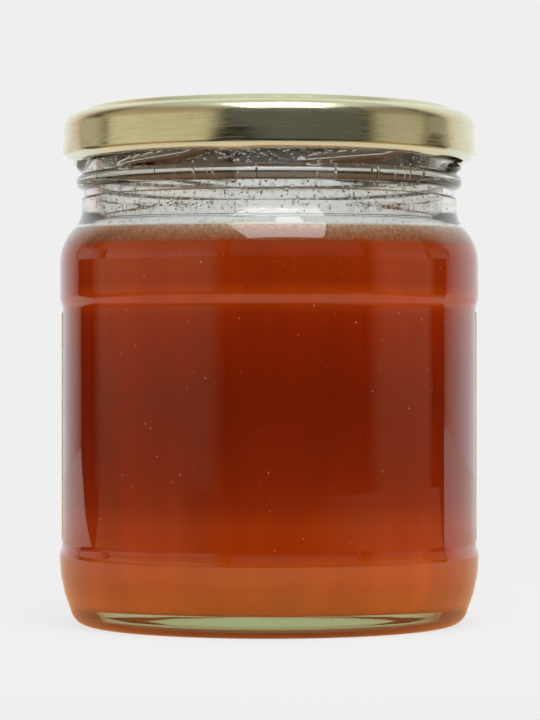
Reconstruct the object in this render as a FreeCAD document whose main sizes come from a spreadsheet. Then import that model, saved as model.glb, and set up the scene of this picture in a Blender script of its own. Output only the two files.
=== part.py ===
"""Glass honey jar with a lug lid, a plain paper label on its back, honey and its foam.

The frame is in millimetres with +Z up. The origin is the centre of the ring that the jar
stands on, and -Y is the front, the side without the label. Angles about Z that are given
from the front grow towards +X.
"""
import FreeCAD, Part
import math
import os
import re

import Sketcher

SIZES = [
    # Glass: radii and widths
    ("neck_radius", 38.45, "outside of the plain neck above the bead"),
    ("neck_step", 0.4, "how much wider the neck is below its mould seam"),
    ("neck_round_width", 1.05, "width of the hollow round between neck and shoulder"),
    ("slope_width", 1.12, "width of the straight slope of the shoulder"),
    ("shoulder_round_width", 2.33, "width of the full round of the shoulder"),
    ("panel_depth", 0.55, "how far the label panel lies inside the two bulges"),
    ("heel_width", 2.3, "how far the top of the heel lies inside the bulge"),
    ("heel_reach", 3.75, "width of the rounded heel itself"),
    ("ring_width", 3.2, "width of the flat ring that the jar stands on"),
    ("push_width", 3.0, "width of the round at the edge of the push-up"),
    # Glass: heights
    ("jar_height", 106.05, "from the ground to the top of the rim"),
    ("push_up", 1.6, "depth of the hollow under the floor"),
    ("heel_height", 3.1, "height of the rounded heel"),
    ("flank_height", 11.1, "height of the long round between heel and lower bulge"),
    ("bulge_blend", 2.8, "height of the blend between a bulge and the label panel"),
    ("bulge_height", 6.9, "straight height of the upper bulge"),
    ("shoulder_round_height", 6.5, "height of the full round of the shoulder"),
    ("slope_height", 1.4, "height of the straight slope of the shoulder"),
    ("neck_round_height", 3.0, "height of the hollow round between neck and shoulder"),
    ("neck_height", 20.65, "from the foot of the neck to the rim"),
    ("seam_height", 2.3, "height of the mould seam above the foot of the neck"),
    ("seam_blend", 0.3, "height over which the neck steps in at the seam"),
    ("bead_foot", 4.15, "height of the bead's lower edge above the foot of the neck"),
    ("bead_height", 3.25, "height of the bead around the neck"),
    ("bead_rise", 1.5, "how far the bead stands out of the neck"),
    ("taper_height", 5.2, "height over which the neck narrows to the rim"),
    ("taper_depth", 0.55, "how much the neck narrows to the rim"),
    # Glass: walls and rounds
    ("wall", 2.9, "wall of the body at the bulges"),
    ("rim_wall", 2.45, "from the outside of the neck to the bore"),
    ("floor_height", 5.0, "top of the glass floor above the ground"),
    ("corner_round", 6.0, "inside round between floor and wall"),
    ("rim_round", 0.95, "outer round of the rim"),
    ("mouth_round", 0.75, "inner round of the rim"),
    # Glass: threads
    ("thread_depth", 1.55, "how far a thread stands out of the neck"),
    ("thread_half", 1.1, "half of a thread's height"),
    ("thread_sink", 0.4, "how deep a thread's root lies in the neck"),
    ("thread_drop", 2.2, "how far a thread's low end lies under the edge of the lid"),
    ("thread_start", -51.5, "angle of a thread's low end from the front"),
    ("seat_angle", 26.0, "length of a thread's gentle low part, in degrees"),
    ("seat_rise", 1.7, "rise of a thread's gentle low part"),
    ("ramp_angle", 26.0, "length of a thread's steep high part, in degrees"),
    ("taper_angle", 8.0, "length over which a thread's ends fade, in degrees"),
    # Honey
    ("headspace", 25.65, "from the rim down to the top of the foam"),
    ("foam_depth", 2.6, "depth of the foam on the honey"),
    # Label
    ("label_sheet", 0.15, "thickness of the paper"),
    ("label_margin", 0.5, "from the label's edges to the blends of the panel"),
    ("label_wrap", 194.0, "angle that the label wraps around the back"),
    # Lid
    ("sheet", 0.25, "thickness of the lid's metal"),
    ("lid_height", 11.1, "height of the lid"),
    ("lid_clearance", 0.27, "gap between the threads and the curled edge"),
    ("curl_radius", 1.2, "outside radius of the curled edge"),
    ("skirt_flare", 0.17, "how far the curled edge stands out of the skirt"),
    ("lid_round", 2.85, "round between the skirt and the top"),
    ("ring_rise", 1.1, "how far the raised ring stands above the shoulder of the lid"),
    ("ring_round", 0.6, "outer round of the raised ring"),
    ("foot_round", 0.3, "round at the foot of the raised ring"),
    ("ring_clearance", 0.3, "gap between the rim of the glass and the sides of the ring"),
    ("panel_recess", 1.5, "how deep the middle of the lid lies below the ring"),
    ("panel_round", 0.5, "rounds on the inner side of the ring"),
    ("disc_radius", 27.0, "radius of the slightly raised disc in the middle"),
    ("disc_rise", 0.35, "height of that disc"),
    ("disc_slope", 1.2, "width of the slope around that disc"),
    ("lug_count", 6, "lugs of the lid and threads of the glass"),
    ("lug_gap", 0.9, "gap between a lug's tip and the neck"),
    ("lug_height", 0.45, "thickness of a lug"),
    ("lug_angle", 9.0, "width of a lug, in degrees"),
    ("lug_place", 42.0, "angle from a thread's low end to the middle of its lug"),
]
NAMES = [name for name, _, _ in SIZES]

# Radii and heights that follow from the sizes, as formulas
BODY_RADIUS = "(neck_radius+neck_step+neck_round_width+slope_width+shoulder_round_width)"
PANEL_RADIUS = f"({BODY_RADIUS}-panel_depth)"
NECK_FOOT_RADIUS = "(neck_radius+neck_step)"
RIM_RADIUS = "(neck_radius-taper_depth)"
BORE_RADIUS = "(neck_radius-rim_wall)"
INNER_RADIUS = f"({BODY_RADIUS}-wall)"
HEEL_RADIUS = f"({BODY_RADIUS}-heel_width)"
STAND_RADIUS = f"({HEEL_RADIUS}-heel_reach)"
NECK_FOOT = "(jar_height-neck_height)"
SLOPE_TOP = f"({NECK_FOOT}-neck_round_height)"
SLOPE_FOOT = f"({SLOPE_TOP}-slope_height)"
SHOULDER_FOOT = f"({SLOPE_FOOT}-shoulder_round_height)"
PANEL_TOP = f"({SHOULDER_FOOT}-bulge_height-bulge_blend)"
BULGE_TOP = "(heel_height+flank_height)"
PANEL_FOOT = f"({BULGE_TOP}+bulge_blend)"
BEAD_FOOT = f"({NECK_FOOT}+bead_foot)"
SEAM = f"({NECK_FOOT}+seam_height)"
SLOPE_COS = "cos(atan(slope_width/slope_height))"
SLOPE_SIN = "sin(atan(slope_width/slope_height))"
FOAM_TOP = "(jar_height-headspace)"
HONEY_TOP = f"({FOAM_TOP}-foam_depth)"
LID_TOP = "(jar_height+sheet)"
LID_FOOT = f"({LID_TOP}-lid_height)"
LID_SHOULDER = f"({LID_TOP}-ring_rise)"
CURL_RADIUS = "(neck_radius+thread_depth+lid_clearance+curl_radius)"
CURL_HEIGHT = f"({LID_FOOT}+curl_radius)"
SKIRT_RADIUS = f"({CURL_RADIUS}+curl_radius-skirt_flare)"
RING_OUTER = f"({RIM_RADIUS}+ring_clearance+sheet)"
RING_INNER = f"({BORE_RADIUS}-ring_clearance-sheet)"
PANEL_LEVEL = f"({LID_TOP}-panel_recess)"

LEFT = 1
RIGHT = -1
MOUTH_OVERRUN = 1.0
THREAD_STEPS = 12
THREAD_END_HEIGHT = 0.5
TO_BACK = 90.0
FULL_TURN = 360.0

document = FreeCAD.newDocument("HoneyJar")


def make_sheet():
    """The driving dimensions: name, value and meaning in three columns."""
    sheet = document.addObject("Spreadsheet::Sheet", "Sizes")
    for row, (name, value, meaning) in enumerate(SIZES, start=1):
        sheet.set(f"A{row}", name)
        sheet.set(f"B{row}", str(value))
        sheet.set(f"C{row}", meaning)
        sheet.setAlias(f"B{row}", name)
    document.recompute()
    return sheet


def bound(formula):
    """The formula with every size name pointing at its cell."""
    return re.sub(r"[a-z_]+", lambda word: f"Sizes.{word[0]}" if word[0] in NAMES else word[0],
                  formula)


def amount(formula):
    """The number that a formula of sizes gives now."""
    result = sheet.evalExpression(bound(formula))
    return float(getattr(result, "Value", result))


def tangent_radius(width, height):
    """Radius of an arc of this width and height that starts or ends along its height."""
    return f"((({width})^2+({height})^2)/(2*({width})))"


def origin_part(body, role):
    """The plane or axis of a body's own origin that has this role."""
    return next(item for item in body.Origin.OriginFeatures if item.Role == role)


def arc_between(start, end, radius, side):
    """The shorter arc between two points, with its centre on this side of the way."""
    chord = end - start
    middle = (start + end) * 0.5
    across = FreeCAD.Vector(-chord.y, chord.x, 0).normalize()
    rise = math.sqrt(max(radius ** 2 - (chord.Length / 2) ** 2, 0))
    centre = middle + across * (rise * side)
    first, last = (start, end) if side == LEFT else (end, start)
    angles = [math.atan2(point.y - centre.y, point.x - centre.x) for point in (first, last)]
    return Part.ArcOfCircle(Part.Circle(centre, FreeCAD.Vector(0, 0, 1), radius), *angles)


def bind(sketch, constraint, name, formula):
    """A dimension of the sketch that follows a formula of sizes."""
    index = sketch.addConstraint(constraint)
    sketch.renameConstraint(index, name)
    sketch.setExpression(f"Constraints.{name}", bound(formula))


def place_corner(sketch, index, edge, vertex, corner):
    """Hold one corner of the outline at its two formulas."""
    for axis, formula, line in (("X", corner[0], -2), ("Y", corner[1], -1)):
        if formula == "0":
            sketch.addConstraint(Sketcher.Constraint("PointOnObject", edge, vertex, line))
            continue
        distance = Sketcher.Constraint(f"Distance{axis}", -1, 1, edge, vertex, amount(formula))
        bind(sketch, distance, f"corner{index}{axis.lower()}", formula)


def draw_outline(sketch, corners):
    """A closed outline of corners (across, up) or (across, up, radius, side).

    A corner with a radius is reached by an arc from the corner before it, with the
    centre on that side of the way; the others are reached by straight lines.
    """
    points = [FreeCAD.Vector(amount(corner[0]), amount(corner[1]), 0) for corner in corners]
    edges = []
    for index in range(len(corners)):
        following = (index + 1) % len(corners)
        target = corners[following]
        start, end = points[index], points[following]
        if len(target) == 2:
            edge = sketch.addGeometry(Part.LineSegment(start, end))
            edges.append((edge, 1, 2))
            continue
        edge = sketch.addGeometry(arc_between(start, end, amount(target[2]), target[3]))
        edges.append((edge, 1, 2) if target[3] == LEFT else (edge, 2, 1))
        bind(sketch, Sketcher.Constraint("Radius", edge, amount(target[2])),
             f"radius{following}", target[2])
    for index, corner in enumerate(corners):
        before, after = edges[index - 1], edges[index]
        sketch.addConstraint(Sketcher.Constraint("Coincident", before[0], before[2],
                                                 after[0], after[1]))
        place_corner(sketch, index, after[0], after[1], corner)


def turned_body(name, corners, angle=FULL_TURN):
    """A body whose outline in the XZ plane is turned about Z."""
    body = document.addObject("PartDesign::Body", name)
    add_turned(body, f"{name}Outline", corners, angle)
    return body


def add_turned(body, name, corners, angle):
    """Turn an outline about Z, centred on the XZ plane, and add it to a body."""
    sketch = body.newObject("Sketcher::SketchObject", name)
    sketch.AttachmentSupport = (origin_part(body, "XZ_Plane"), [""])
    sketch.MapMode = "FlatFace"
    draw_outline(sketch, corners)
    document.recompute()
    turned = body.newObject("PartDesign::Revolution", f"{name}Turned")
    turned.Profile = sketch
    turned.ReferenceAxis = (sketch, ["V_Axis"])
    turned.Midplane = angle != FULL_TURN
    if angle == FULL_TURN:
        turned.Angle = FULL_TURN
    else:
        turned.setExpression("Angle", bound(angle))
    document.recompute()
    return turned


def combined(kind, name, base, tool):
    """A boolean of two objects: Part::Cut, Part::Fuse or Part::Common."""
    result = document.addObject(kind, name)
    result.Base = base
    result.Tool = tool
    document.recompute()
    return result


def glass_outline():
    """The outside of the glass, from the middle of the push-up to the rim."""
    half_blend = "(bulge_blend/2)"
    half_depth = "(panel_depth/2)"
    blend = tangent_radius(half_depth, half_blend)
    ring_inner = f"({STAND_RADIUS}-ring_width)"
    heel = tangent_radius("heel_height", "heel_reach")
    bead = tangent_radius("bead_rise", "(bead_height/2)")
    return [
        ("0", "push_up"),
        (f"{ring_inner}-push_width", "push_up"),
        (ring_inner, "0", tangent_radius("push_up", "push_width"), RIGHT),
        (STAND_RADIUS, "0"),
        (HEEL_RADIUS, "heel_height", heel, LEFT),
        (BODY_RADIUS, BULGE_TOP, tangent_radius("heel_width", "flank_height"), LEFT),
        (f"{BODY_RADIUS}-{half_depth}", f"{BULGE_TOP}+{half_blend}", blend, LEFT),
        (PANEL_RADIUS, PANEL_FOOT, blend, RIGHT),
        (PANEL_RADIUS, PANEL_TOP),
        (f"{PANEL_RADIUS}+{half_depth}", f"{PANEL_TOP}+{half_blend}", blend, RIGHT),
        (BODY_RADIUS, f"{PANEL_TOP}+bulge_blend", blend, LEFT),
        (BODY_RADIUS, SHOULDER_FOOT),
        (f"{BODY_RADIUS}-shoulder_round_width", SLOPE_FOOT,
         tangent_radius("shoulder_round_width", "shoulder_round_height"), LEFT),
        (f"{NECK_FOOT_RADIUS}+neck_round_width", SLOPE_TOP),
        (NECK_FOOT_RADIUS, NECK_FOOT,
         tangent_radius("neck_round_width", "neck_round_height"), RIGHT),
        (NECK_FOOT_RADIUS, SEAM),
        ("neck_radius", f"{SEAM}+seam_blend"),
        ("neck_radius", BEAD_FOOT),
        ("neck_radius", f"{BEAD_FOOT}+bead_height", bead, LEFT),
        ("neck_radius", "jar_height-rim_round-taper_height"),
        (RIM_RADIUS, "jar_height-rim_round"),
        (f"{RIM_RADIUS}-rim_round", "jar_height", "rim_round", LEFT),
        ("0", "jar_height"),
    ]


def room_outline():
    """The room inside the glass, from its floor up to past the mouth."""
    slope_in = f"(wall*{SLOPE_COS})"
    slope_down = f"(wall*{SLOPE_SIN})"
    round_foot = f"({BODY_RADIUS}-shoulder_round_width-{slope_in})"
    round_top = f"({NECK_FOOT_RADIUS}+neck_round_width-{slope_in})"
    round_width = f"({INNER_RADIUS}-{round_foot})"
    round_height = f"(shoulder_round_height-{slope_down})"
    hollow_width = f"({round_top}-{BORE_RADIUS})"
    hollow_height = f"(neck_round_height+{slope_down})"
    overrun = f"jar_height+{MOUTH_OVERRUN}"
    return [
        ("0", "floor_height"),
        (f"{INNER_RADIUS}-corner_round", "floor_height"),
        (INNER_RADIUS, "floor_height+corner_round", "corner_round", LEFT),
        (INNER_RADIUS, SHOULDER_FOOT),
        (round_foot, f"{SLOPE_FOOT}-{slope_down}",
         tangent_radius(round_width, round_height), LEFT),
        (round_top, f"{SLOPE_TOP}-{slope_down}"),
        (BORE_RADIUS, NECK_FOOT, tangent_radius(hollow_width, hollow_height), RIGHT),
        (BORE_RADIUS, "jar_height-mouth_round"),
        (f"{BORE_RADIUS}+mouth_round", "jar_height", "mouth_round", RIGHT),
        (f"{BORE_RADIUS}+mouth_round", overrun),
        ("0", overrun),
    ]


def lid_outline():
    """The sheet metal of the lid: its upper face out to the curl, then its under face."""
    def face(offset):
        """One face of the sheet, offset below or inside the outer one."""
        over, under = f"-{offset}", f"+{offset}"
        return [
            ("0", f"{PANEL_LEVEL}+disc_rise{over}"),
            ("disc_radius", f"{PANEL_LEVEL}+disc_rise{over}"),
            ("disc_radius+disc_slope", f"{PANEL_LEVEL}{over}"),
            (f"{RING_INNER}-panel_round", f"{PANEL_LEVEL}{over}"),
            (f"{RING_INNER}{under}", f"{PANEL_LEVEL}+panel_round", f"panel_round{under}", LEFT),
            (f"{RING_INNER}{under}", f"{LID_TOP}-panel_round"),
            (f"{RING_INNER}+panel_round", f"{LID_TOP}{over}", f"panel_round{over}", RIGHT),
            (f"{RING_OUTER}-ring_round", f"{LID_TOP}{over}"),
            (f"{RING_OUTER}{over}", f"{LID_TOP}-ring_round", f"ring_round{over}", RIGHT),
            (f"{RING_OUTER}{over}", f"{LID_SHOULDER}+foot_round"),
            (f"{RING_OUTER}+foot_round", f"{LID_SHOULDER}{over}", f"foot_round{under}", LEFT),
            (f"{SKIRT_RADIUS}-lid_round", f"{LID_SHOULDER}{over}"),
            (f"{SKIRT_RADIUS}{over}", f"{LID_SHOULDER}-lid_round", f"lid_round{over}", RIGHT),
            (f"{CURL_RADIUS}+curl_radius{over}", CURL_HEIGHT),
            (CURL_RADIUS, f"{CURL_HEIGHT}-curl_radius{under}", f"curl_radius{over}", RIGHT),
            (f"{CURL_RADIUS}-curl_radius{under}", CURL_HEIGHT, f"curl_radius{over}", RIGHT),
            (CURL_RADIUS, f"{CURL_HEIGHT}+curl_radius{over}", f"curl_radius{over}", RIGHT),
        ]
    upper = face("0")
    lower = face("sheet")
    return upper + turned_back(lower)


def turned_back(corners):
    """The same run of corners walked the other way, so each arc moves to its other end."""
    backwards = [corners[-1][:2]]
    for index in range(len(corners) - 1, 0, -1):
        arc = corners[index][2:]
        if arc:
            arc = (arc[0], -arc[1])
        backwards.append(corners[index - 1][:2] + arc)
    return backwards


def fade(angle, length):
    """How much of its full size a thread has here: none at its ends, all in its middle."""
    reach = min(angle, length - angle) / amount("taper_angle")
    return math.sin(min(max(reach, 0), 1) * math.pi / 2)


def thread_height(angle):
    """Height of a thread's middle line: a gentle seat, then a ramp that clears the lug."""
    low = amount(f"{LID_FOOT}-thread_drop")
    seat_angle, seat_rise = amount("seat_angle"), amount("seat_rise")
    if angle <= seat_angle:
        return low + seat_rise * angle / seat_angle
    lug_edge = amount("lug_place-lug_angle/2")
    clear = amount(f"{LID_FOOT}+lug_height+thread_half")
    steepness = (clear - low - seat_rise) / (lug_edge - seat_angle)
    return low + seat_rise + steepness * (angle - seat_angle)


def thread_section(angle, length):
    """One closed section of a thread: a bow outwards and a straight root in the wall."""
    size = fade(angle, length)
    root = amount("neck_radius-thread_sink")
    crest = root + THREAD_END_HEIGHT * amount("thread_sink")
    crest += (amount("neck_radius+thread_depth") - crest) * size
    half = amount("thread_half") * (THREAD_END_HEIGHT + (1 - THREAD_END_HEIGHT) * size)
    height = thread_height(angle)
    turn = FreeCAD.Rotation(FreeCAD.Vector(0, 0, 1), angle)
    low = turn.multVec(FreeCAD.Vector(root, 0, height - half))
    middle = turn.multVec(FreeCAD.Vector(crest, 0, height))
    high = turn.multVec(FreeCAD.Vector(root, 0, height + half))
    bow = Part.Arc(low, middle, high).toShape()
    return Part.Wire([bow, Part.LineSegment(high, low).toShape()])


def make_threads():
    """One thread, lofted through its sections, repeated around the neck."""
    length = amount("seat_angle+ramp_angle")
    angles = [length * step / THREAD_STEPS for step in range(THREAD_STEPS + 1)]
    shape = Part.makeLoft([thread_section(angle, length) for angle in angles], True)
    count = int(amount("lug_count"))
    threads = []
    for index in range(count):
        thread = document.addObject("Part::Feature", f"Thread{index}")
        thread.Shape = shape
        turn = amount("thread_start") - TO_BACK + FULL_TURN * index / count
        thread.Placement.Rotation = FreeCAD.Rotation(FreeCAD.Vector(0, 0, 1), turn)
        threads.append(thread)
    return threads


def make_glass():
    """The jar: a turned blank, hollowed by the room inside it, with threads on its neck."""
    blank = turned_body("GlassBlank", glass_outline())
    room = turned_body("Room", room_outline())
    glass = combined("Part::Cut", "Hollowed", blank, room)
    for index, thread in enumerate(make_threads()):
        glass = combined("Part::Fuse", f"Threaded{index}", glass, thread)
    return glass, room


def make_layer(name, room, foot, depth):
    """What fills the room between two levels."""
    slab = document.addObject("Part::Cylinder", f"{name}Level")
    slab.setExpression("Radius", bound(BODY_RADIUS))
    slab.setExpression("Height", bound(depth))
    slab.setExpression("Placement.Base.z", bound(foot))
    return combined("Part::Common", name, room, slab)


def make_lid():
    """The lid: turned sheet metal with lugs under its curled edge."""
    body = turned_body("Lid", lid_outline())
    tip = "neck_radius+lug_gap"
    lug = add_turned(body, "Lug", [
        (tip, LID_FOOT),
        (CURL_RADIUS, LID_FOOT),
        (CURL_RADIUS, f"{LID_FOOT}+lug_height"),
        (tip, f"{LID_FOOT}+lug_height"),
    ], "lug_angle")
    lugs = body.newObject("PartDesign::PolarPattern", "Lugs")
    lugs.Originals = [lug]
    lugs.Axis = (origin_part(body, "Z_Axis"), [""])
    lugs.Angle = FULL_TURN
    lugs.setExpression("Occurrences", bound("lug_count"))
    body.Tip = lugs
    body.Placement.Rotation = FreeCAD.Rotation(FreeCAD.Vector(0, 0, 1), 0)
    body.setExpression("Placement.Rotation.Angle", bound(f"thread_start+lug_place-{TO_BACK}"))
    document.recompute()
    return body


def make_label():
    """The paper label, wrapped around the back within the label panel."""
    foot = f"{PANEL_FOOT}+label_margin"
    top = f"{PANEL_TOP}-label_margin"
    body = turned_body("Label", [
        (PANEL_RADIUS, foot),
        (f"{PANEL_RADIUS}+label_sheet", foot),
        (f"{PANEL_RADIUS}+label_sheet", top),
        (PANEL_RADIUS, top),
    ], "label_wrap")
    body.Placement.Rotation = FreeCAD.Rotation(FreeCAD.Vector(0, 0, 1), TO_BACK)
    document.recompute()
    return body


def check_document():
    """Stop if anything in the document failed to compute."""
    for item in document.Objects:
        if {"Invalid", "Error"} & set(item.State):
            raise RuntimeError(f"{item.Name} failed: {item.State}")


def write_parts(parts):
    """Check each sub-part and write it to its own file."""
    os.makedirs("parts", exist_ok=True)
    for label, item in parts.items():
        item.Label = label
        shape = item.Shape
        if shape.isNull() or not shape.isValid() or len(shape.Solids) != 1:
            raise RuntimeError(f"{label} is not one valid solid")
        shape.exportStep(os.path.join("parts", f"{item.Label}.step"))
        box = shape.BoundBox
        print(f"{label}: {shape.Volume / 1000:.2f} cm3, z {box.ZMin:.2f} to {box.ZMax:.2f},"
              f" x {box.XMin:.2f} to {box.XMax:.2f}")


sheet = make_sheet()
glass_jar, inner_room = make_glass()
honey = make_layer("Honey", inner_room, "0", HONEY_TOP)
foam = make_layer("Foam", inner_room, HONEY_TOP, "foam_depth")
lid = make_lid()
label = make_label()
document.recompute()
check_document()
write_parts({
    "glass_jar": glass_jar,
    "honey": honey,
    "honey_foam": foam,
    "lid": lid,
    "label": label,
})
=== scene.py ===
# %% [markdown]
# # A jar of honey
# The real thing is a pressed glass jar with a lug lid of lacquered tinplate, a paper label
# on its back, and dark honey with a thin layer of foam on it. The measured model comes in
# first as a fixed frame, and every piece below takes its size and place from it.

# %% Load the frame
import math
import random

import bmesh
import bpy
from mathutils import Matrix, Vector, noise


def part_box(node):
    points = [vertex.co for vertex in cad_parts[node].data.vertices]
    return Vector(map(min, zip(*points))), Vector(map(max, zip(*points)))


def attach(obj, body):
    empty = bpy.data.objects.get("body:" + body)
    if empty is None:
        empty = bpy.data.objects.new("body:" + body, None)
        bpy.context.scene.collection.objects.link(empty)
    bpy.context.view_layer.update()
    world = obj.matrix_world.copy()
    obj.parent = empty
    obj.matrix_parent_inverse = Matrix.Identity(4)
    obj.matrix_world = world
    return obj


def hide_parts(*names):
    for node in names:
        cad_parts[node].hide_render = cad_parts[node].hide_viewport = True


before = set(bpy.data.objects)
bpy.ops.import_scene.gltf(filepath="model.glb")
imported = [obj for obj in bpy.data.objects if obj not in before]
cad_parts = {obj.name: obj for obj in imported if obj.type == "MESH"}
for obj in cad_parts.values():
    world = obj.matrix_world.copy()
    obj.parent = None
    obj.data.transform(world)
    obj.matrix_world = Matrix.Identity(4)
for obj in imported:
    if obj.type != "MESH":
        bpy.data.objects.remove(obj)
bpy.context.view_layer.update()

MM = 0.001
scene = bpy.context.scene
scene.view_settings.view_transform = "Standard"

# %% [markdown]
# ## Helpers for colours, nodes and pieces
# Colours are written as sRGB hex values, as a colour picker shows them, and shaders want
# linear light, so one function turns the one into the other. Another adds any shader node
# with its settings and links, and a third puts a finished mesh on the jar.

# %% Helpers
def tone(code, strength=1.0):
    """An sRGB hex colour as linear light."""
    parts = [int(code[place:place + 2], 16) / 255 for place in (0, 2, 4)]
    linear = [part / 12.92 if part <= 0.04045 else ((part + 0.055) / 1.055) ** 2.4
              for part in parts]
    return (*[strength * part for part in linear], 1.0)


def set_stops(points, stops):
    """Give a colour ramp its (place, colour) stops."""
    points.remove(points[1])
    points[0].position, points[0].color = stops[0]
    for place, colour in stops[1:]:
        points.new(place).color = colour


def add(tree, kind, settings=None, **inputs):
    """Add a node with its settings and links.

    Each input is a value, another node's output, or a node, which stands for its first
    output. An input called _1 is the one with that number. A ramp's stops are a setting."""
    made = tree.nodes.new(kind)
    for name, value in (settings or {}).items():
        if name == "stops":
            set_stops(made.color_ramp.elements, value)
        else:
            setattr(made, name, value)
    for name, value in inputs.items():
        socket = made.inputs[int(name[1:]) if name[0] == "_" else name.replace("_", " ")]
        if isinstance(value, bpy.types.Node):
            value = value.outputs[0]
        if isinstance(value, bpy.types.NodeSocket):
            tree.links.new(value, socket)
        else:
            socket.default_value = value
    return made


def new_material(name):
    """An empty node material with its output node."""
    material = bpy.data.materials.new(name)
    material.use_nodes = True
    material.node_tree.nodes.clear()
    return material, material.node_tree, add(material.node_tree, "ShaderNodeOutputMaterial")


def make_piece(name, mesh_data, materials, replaces=(), sharp_angle=40):
    """Turn a bmesh into a smooth piece of the jar, with edges sharp beyond this angle."""
    mesh = bpy.data.meshes.new(name)
    mesh_data.to_mesh(mesh)
    mesh_data.free()
    for material in materials:
        mesh.materials.append(material)
    mesh.shade_smooth()
    mesh.set_sharp_from_angle(angle=math.radians(sharp_angle))
    piece = bpy.data.objects.new(name, mesh)
    scene.collection.objects.link(piece)
    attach(piece, "root")
    if replaces:
        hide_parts(*replaces)
    print(f"{name}: {len(mesh.vertices)} corners, {len(mesh.polygons)} faces")


print("white paper as linear light:", [round(part, 3) for part in tone("EFEFEF")])

# %% [markdown]
# ## The camera
# The jar is seen almost level, from a little under its middle, through a long lens. A long
# lens keeps the curves of lid and base flat. The camera looks along +Y at the jar's front.

# %% Camera
CAMERA_DISTANCE = 622 * MM
CAMERA_HEIGHT = 51.2 * MM
CAMERA_SIDE = 0.17 * MM
CAMERA_RISE = math.radians(0.306)

lens = bpy.data.cameras.new("camera")
lens.lens = 150
lens.sensor_width = 36
camera = bpy.data.objects.new("camera", lens)
camera.location = (CAMERA_SIDE, -CAMERA_DISTANCE, CAMERA_HEIGHT)
camera.rotation_euler = (math.pi / 2 + CAMERA_RISE, 0, 0)
scene.collection.objects.link(camera)
scene.camera = camera
print("camera looks level from", round(CAMERA_DISTANCE / MM), "mm")

# %% [markdown]
# ## Light and surroundings
# Glass and lacquer show what stands around them more than their own colour. The jar stands
# on a white floor in front of a bright wall, between two wide soft boxes with a dark gap
# between them at the front, and a brighter soft box hangs above the front. The dark gap is
# what makes the middle of the jar deep and clear, and the boxes give the paler sides. The
# wall and the boxes are hidden from the camera, and act on the jar alone.

# %% Floor and back wall
PAPER_WHITE = "EFEFEF"
FLOOR_FRONT = 0.28
WALL_DISTANCE = 0.9
WALL_LEFT = -1.25
WALL_RIGHT = 2.3
WALL_HEIGHT = 1.9
WALL_STRENGTH = 1.2
SHADOW_REACH = 0.16
SHADOW_SHARE = 0.14
GLOW_REACH = 0.8


def staged(name, sheet, material):
    """Turn a bmesh into a sheet of the surroundings."""
    mesh = bpy.data.meshes.new(name)
    sheet.to_mesh(mesh)
    sheet.free()
    mesh.materials.append(material)
    made = bpy.data.objects.new(name, mesh)
    scene.collection.objects.link(made)
    return made


def floor_material():
    """White paper that looks one white, apart from a faint shadow close to the jar.

    In a mirror it is warm near the jar, where light that passed the honey falls on it."""
    material, tree, output = new_material("floor_paper")
    place = add(tree, "ShaderNodeTexCoord").outputs["Object"]
    distance = add(tree, "ShaderNodeVectorMath", {"operation": "LENGTH"}, _0=place).outputs[1]
    near = add(tree, "ShaderNodeMapRange", {"clamp": True}, Value=distance,
               From_Min=SHADOW_REACH / 3, From_Max=SHADOW_REACH, To_Min=SHADOW_SHARE, To_Max=0.0)
    rays = add(tree, "ShaderNodeLightPath").outputs
    seen = add(tree, "ShaderNodeMath", {"operation": "MAXIMUM"},
               _0=rays["Is Camera Ray"], _1=rays["Is Glossy Ray"])
    seen = add(tree, "ShaderNodeMath", {"operation": "MAXIMUM"},
               _0=seen, _1=rays["Is Transmission Ray"])
    lit = add(tree, "ShaderNodeMath", {"operation": "SUBTRACT"}, _0=1.0, _1=near)
    share = add(tree, "ShaderNodeMath", {"operation": "MULTIPLY"}, _0=seen, _1=lit)
    matt = add(tree, "ShaderNodeBsdfDiffuse", Color=tone(PAPER_WHITE))
    reach = add(tree, "ShaderNodeMapRange", {"clamp": True}, Value=distance,
                From_Min=0.0, From_Max=GLOW_REACH)
    honey_light = add(tree, "ShaderNodeValToRGB", {"stops": [
        (0.042, (0.55, 0.25, 0.08, 1)), (0.062, (0.78, 0.42, 0.18, 1)),
        (0.125, (0.82, 0.6, 0.38, 1)), (0.25, (0.82, 0.73, 0.58, 1)),
        (0.6, (0.95, 0.92, 0.88, 1))]}, Fac=reach)
    colour = add(tree, "ShaderNodeMix", {"data_type": "RGBA"}, _0=rays["Is Glossy Ray"],
                 _6=tone(PAPER_WHITE), _7=honey_light)
    glow = add(tree, "ShaderNodeEmission", Color=colour.outputs[2], Strength=1.0)
    mixed = add(tree, "ShaderNodeMixShader", _0=share, _1=matt, _2=glow)
    tree.links.new(mixed.outputs[0], output.inputs["Surface"])
    return material


def wall_material():
    """A lit paper wall, dim and warm towards its two ends."""
    material, tree, output = new_material("wall_paper")
    side = add(tree, "ShaderNodeSeparateXYZ",
               Vector=add(tree, "ShaderNodeTexCoord").outputs["Object"])
    along = add(tree, "ShaderNodeMapRange", {"clamp": True}, Value=side,
                From_Min=WALL_LEFT, From_Max=WALL_RIGHT)
    light = add(tree, "ShaderNodeValToRGB", {"stops": [
        (0.0, (0.42, 0.26, 0.2, 1)), (0.07, (0.72, 0.55, 0.48, 1)), (0.2, tone(PAPER_WHITE)),
        (0.62, tone(PAPER_WHITE)), (0.86, (0.7, 0.56, 0.48, 1)), (1.0, (0.4, 0.26, 0.2, 1))]},
        Fac=along)
    glow = add(tree, "ShaderNodeEmission", Color=light, Strength=WALL_STRENGTH)
    tree.links.new(glow.outputs[0], output.inputs["Surface"])
    return material


def flat_sheet(name, corners, material):
    """A flat sheet of the surroundings from its corners."""
    sheet = bmesh.new()
    bmesh.ops.contextual_create(sheet, geom=[sheet.verts.new(corner) for corner in corners])
    return staged(name, sheet, material)


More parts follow.
